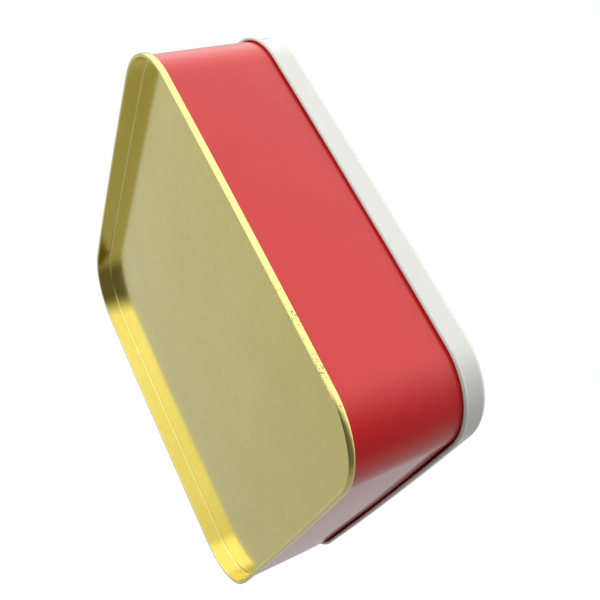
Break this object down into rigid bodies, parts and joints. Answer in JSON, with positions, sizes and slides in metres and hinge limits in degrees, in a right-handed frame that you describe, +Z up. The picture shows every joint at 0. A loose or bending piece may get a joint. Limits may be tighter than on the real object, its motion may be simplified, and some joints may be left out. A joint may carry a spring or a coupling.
{
  "type": "square slip-lid tin",
  "caption": "Shallow square sheet-metal tin with rounded corners, a rolled seam round its recessed base, and a slip-over lid with a curled edge that lifts straight off.",
  "frame": {"origin": "centre of the tin's square footprint, on the plane it stands on", "axes": "+Z up through the lid, +X and +Y square to two neighbouring walls; the wall's folded side seam is in the middle of the +Y side"},
  "size_m": [0.2036, 0.2036, 0.0625],
  "materials": {
    "gold_lacquer": "semi-gloss gold lacquer over bare tinplate",
    "red_enamel": "glossy varnished red print outside, gold lacquer inside",
    "white_enamel": "glossy varnished white print outside, gold lacquer inside"
  },
  "bodies": {
    "tin_body": {"body_wall": "red_enamel", "base_pan": "gold_lacquer"},
    "lid_body": {"lid": "white_enamel"}
  },
  "joints": [
    {"name": "lid_lift", "type": "slide", "parent": "tin_body", "child": "lid_body", "axis": [0, 0, 1], "range_m": [0, 0.08]}
  ]
}
